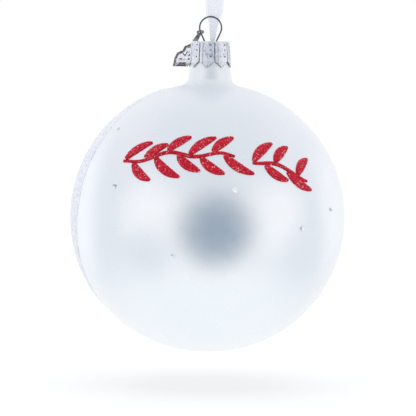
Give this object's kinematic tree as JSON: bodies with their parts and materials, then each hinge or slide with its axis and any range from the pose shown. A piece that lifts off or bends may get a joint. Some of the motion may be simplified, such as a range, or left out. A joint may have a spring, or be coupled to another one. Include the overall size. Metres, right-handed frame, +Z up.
{
  "type": "christmas ornament",
  "caption": "Blown glass christmas ball with stamped cap, spring wire hanger, metal fir tree tag and ribbon loop, decorated with red glitter sprigs, crystals and a glitter-edged picture.",
  "frame": {"origin": "top of the ribbon loop, where it hangs from a branch or hook", "axes": "+Z up along the ornament's axis, -Y towards the viewer of the back with the red sprigs, +X to that viewer's right"},
  "size_m": [0.1005, 0.1004, 0.1885],
  "materials": {
    "ribbon": "sheer woven organza",
    "cap_tin": "bright stamped tin, finely hatched",
    "spring_wire": "dark drawn spring wire",
    "tag_metal": "antiqued silver, dark in the recesses",
    "frosted_glass": "silvered inside, satin pearl lacquer outside",
    "red_glitter": "raised glue line covered in fine red glitter",
    "crystal": "faceted, iridescent, foil backed",
    "white_glitter": "raised white glitter",
    "sky_paint": "soft pearl paint",
    "house_paint": "raised satin paint",
    "green_glitter": "raised green glitter",
    "gold_glitter": "raised gold glitter"
  },
  "bodies": {
    "ribbon": {"ribbon_loop": "ribbon"},
    "cap": {"cap_crown": "cap_tin", "ribbon_tail": "ribbon", "ribbon_knot": "ribbon"},
    "hanger": {"hanger_wire": "spring_wire"},
    "tag": {"tag_plate": "tag_metal"},
    "ball": {"glass_ball": "frosted_glass", "sprig_left": "red_glitter", "sprig_right": "red_glitter", "crystals": "crystal", "front_border": "white_glitter", "front_sky": "sky_paint", "front_snow": "white_glitter", "front_houses": "house_paint", "front_trees": "green_glitter", "front_moon_stars": "gold_glitter"}
  },
  "joints": [
    {"name": "ornament_swing", "type": "hinge", "parent": "ribbon", "child": "cap", "pos_m": [0.00065, 0.0017, -0.061], "axis": [1, 0, 0], "range_deg": [-45, 45]},
    {"name": "hanger_slide", "type": "slide", "parent": "cap", "child": "hanger", "axis": [0, 0, 1], "range_m": [0, 0.0035]},
    {"name": "tag_swing", "type": "hinge", "parent": "hanger", "child": "tag", "pos_m": [-0.0037, 0, -0.0717], "axis": [0.9613, 0.2756, 0], "range_deg": [0, 60]},
    {"name": "ball_pull", "type": "slide", "parent": "cap", "child": "ball", "axis": [0, 0, -1], "range_m": [0, 0.026]}
  ]
}
